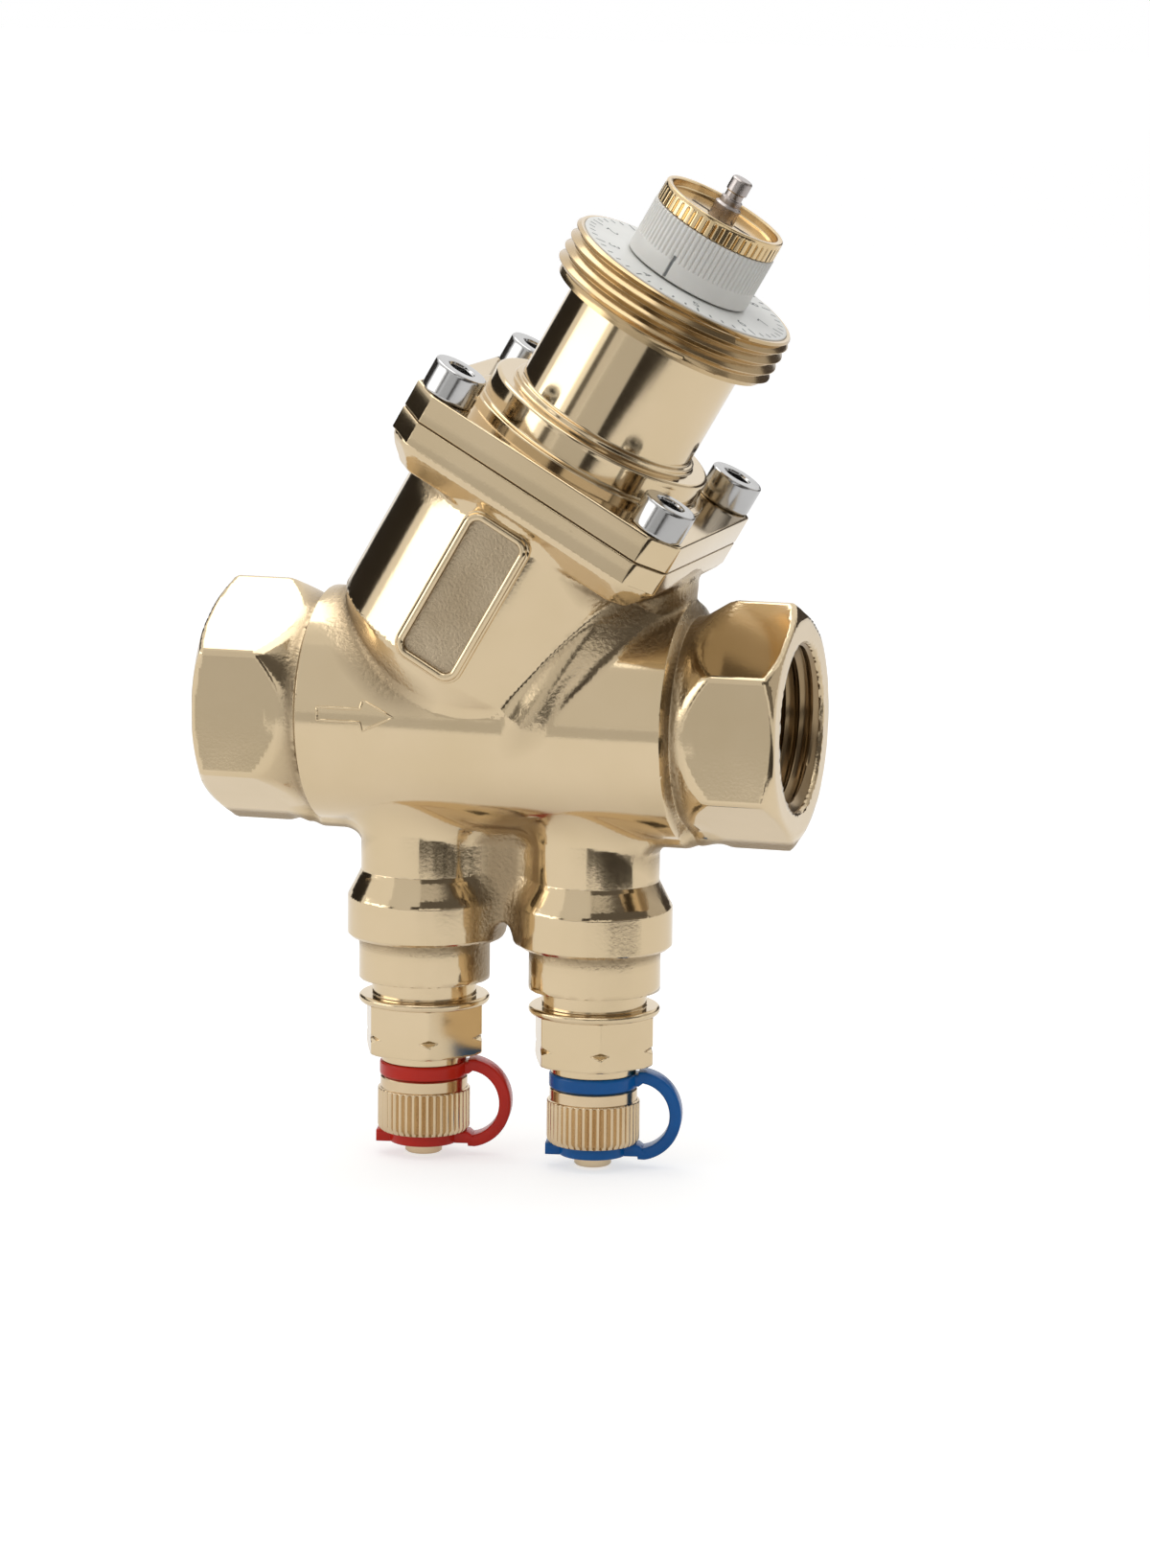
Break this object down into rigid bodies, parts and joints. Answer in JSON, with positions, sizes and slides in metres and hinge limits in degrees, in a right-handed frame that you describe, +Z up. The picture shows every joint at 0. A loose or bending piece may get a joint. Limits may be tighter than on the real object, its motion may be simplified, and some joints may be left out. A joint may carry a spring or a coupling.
{
  "type": "pressure independent control valve",
  "caption": "Brass flow control valve with threaded ports, leaning bonnet for an actuator, white setting dial and capped test points below the pipe.",
  "frame": {"origin": "centre of the inlet port's face", "axes": "+X along the pipe from inlet to outlet, +Z up, the test points hang down and the bonnet leans to +X"},
  "size_m": [0.075, 0.0384, 0.1246],
  "materials": {
    "cast_brass": "cast brass, polished, with light grain in the recesses",
    "turned_brass": "turned and polished brass",
    "seal_rubber": "matt black rubber",
    "screw_steel": "bright plated steel",
    "scale_plastic": "printed white plastic",
    "dial_plastic": "moulded off-white plastic",
    "inner_brass": "turned brass",
    "ring_brass": "turned and knurled brass",
    "stem_steel": "ground stainless steel",
    "spring_steel": "spring steel",
    "bush_plastic": "plain white plastic",
    "sleeve_plastic": "dark glass filled plastic",
    "nipple_brass": "turned brass",
    "cap_brass": "turned and knurled brass",
    "red_strap": "moulded red plastic",
    "blue_strap": "moulded blue plastic"
  },
  "bodies": {
    "housing": {"valve_body": "cast_brass", "bonnet": "turned_brass", "bonnet_seal": "seal_rubber", "flange_screws": "screw_steel", "scale_disc": "scale_plastic", "stem_spring": "spring_steel", "seat_ring": "inner_brass", "regulator_sleeve": "sleeve_plastic", "diaphragm": "seal_rubber", "regulator_spring": "spring_steel", "test_nipple_1": "nipple_brass", "nipple_seal_1": "seal_rubber", "probe_seal_1": "seal_rubber", "seal_retainer_1": "nipple_brass", "test_nipple_2": "nipple_brass", "nipple_seal_2": "seal_rubber", "probe_seal_2": "seal_rubber", "seal_retainer_2": "nipple_brass"},
    "setting": {"setting_spindle": "inner_brass", "spindle_seal": "seal_rubber", "setting_dial": "dial_plastic", "stem_bush": "bush_plastic", "stem_seal": "seal_rubber"},
    "lock": {"lock_ring": "ring_brass"},
    "stem": {"stem": "stem_steel", "control_plug": "inner_brass", "plug_seal": "seal_rubber", "spring_clip": "spring_steel"},
    "regulator": {"regulator_cup": "sleeve_plastic", "diaphragm_plate": "inner_brass"},
    "cap_1": {"test_cap_1": "cap_brass", "cap_seal_1": "seal_rubber"},
    "cap_2": {"test_cap_2": "cap_brass", "cap_seal_2": "seal_rubber"},
    "strap_1": {"cap_strap_1": "red_strap"},
    "strap_2": {"cap_strap_2": "blue_strap"}
  },
  "joints": [
    {"name": "setting_turn", "type": "hinge", "parent": "housing", "child": "setting", "pos_m": [0.0609, 0, 0.05716], "axis": [0.5, 0, 0.866], "range_deg": [-90, 210]},
    {"name": "lock_ring_turn", "type": "hinge", "parent": "setting", "child": "lock", "pos_m": [0.0634, 0, 0.06149], "axis": [0.5, 0, 0.866], "range_deg": [0, 360]},
    {"name": "stem_slide", "type": "slide", "parent": "housing", "child": "stem", "axis": [-0.5, 0, -0.866], "range_m": [0, 0.0025], "stiffness_N_per_m": 4000, "springref_m": -0.005, "deforming": ["stem_spring"]},
    {"name": "regulator_slide", "type": "slide", "parent": "housing", "child": "regulator", "axis": [0.5, 0, 0.866], "range_m": [0, 0.003], "stiffness_N_per_m": 3000, "springref_m": -0.006, "deforming": ["regulator_spring", "diaphragm"]},
    {"name": "cap_1_turn", "type": "hinge", "parent": "housing", "child": "cap_1", "pos_m": [0.0263, 0, -0.051], "axis": [0, 0, -1], "range_deg": [0, 1440]},
    {"name": "cap_2_turn", "type": "hinge", "parent": "housing", "child": "cap_2", "pos_m": [0.0487, 0, -0.051], "axis": [0, 0, -1], "range_deg": [0, 1440]},
    {"name": "strap_1_swivel", "type": "hinge", "parent": "housing", "child": "strap_1", "pos_m": [0.0263, 0, -0.046], "axis": [0, 0, 1], "continuous": true},
    {"name": "strap_2_swivel", "type": "hinge", "parent": "housing", "child": "strap_2", "pos_m": [0.0487, 0, -0.046], "axis": [0, 0, 1], "continuous": true}
  ]
}
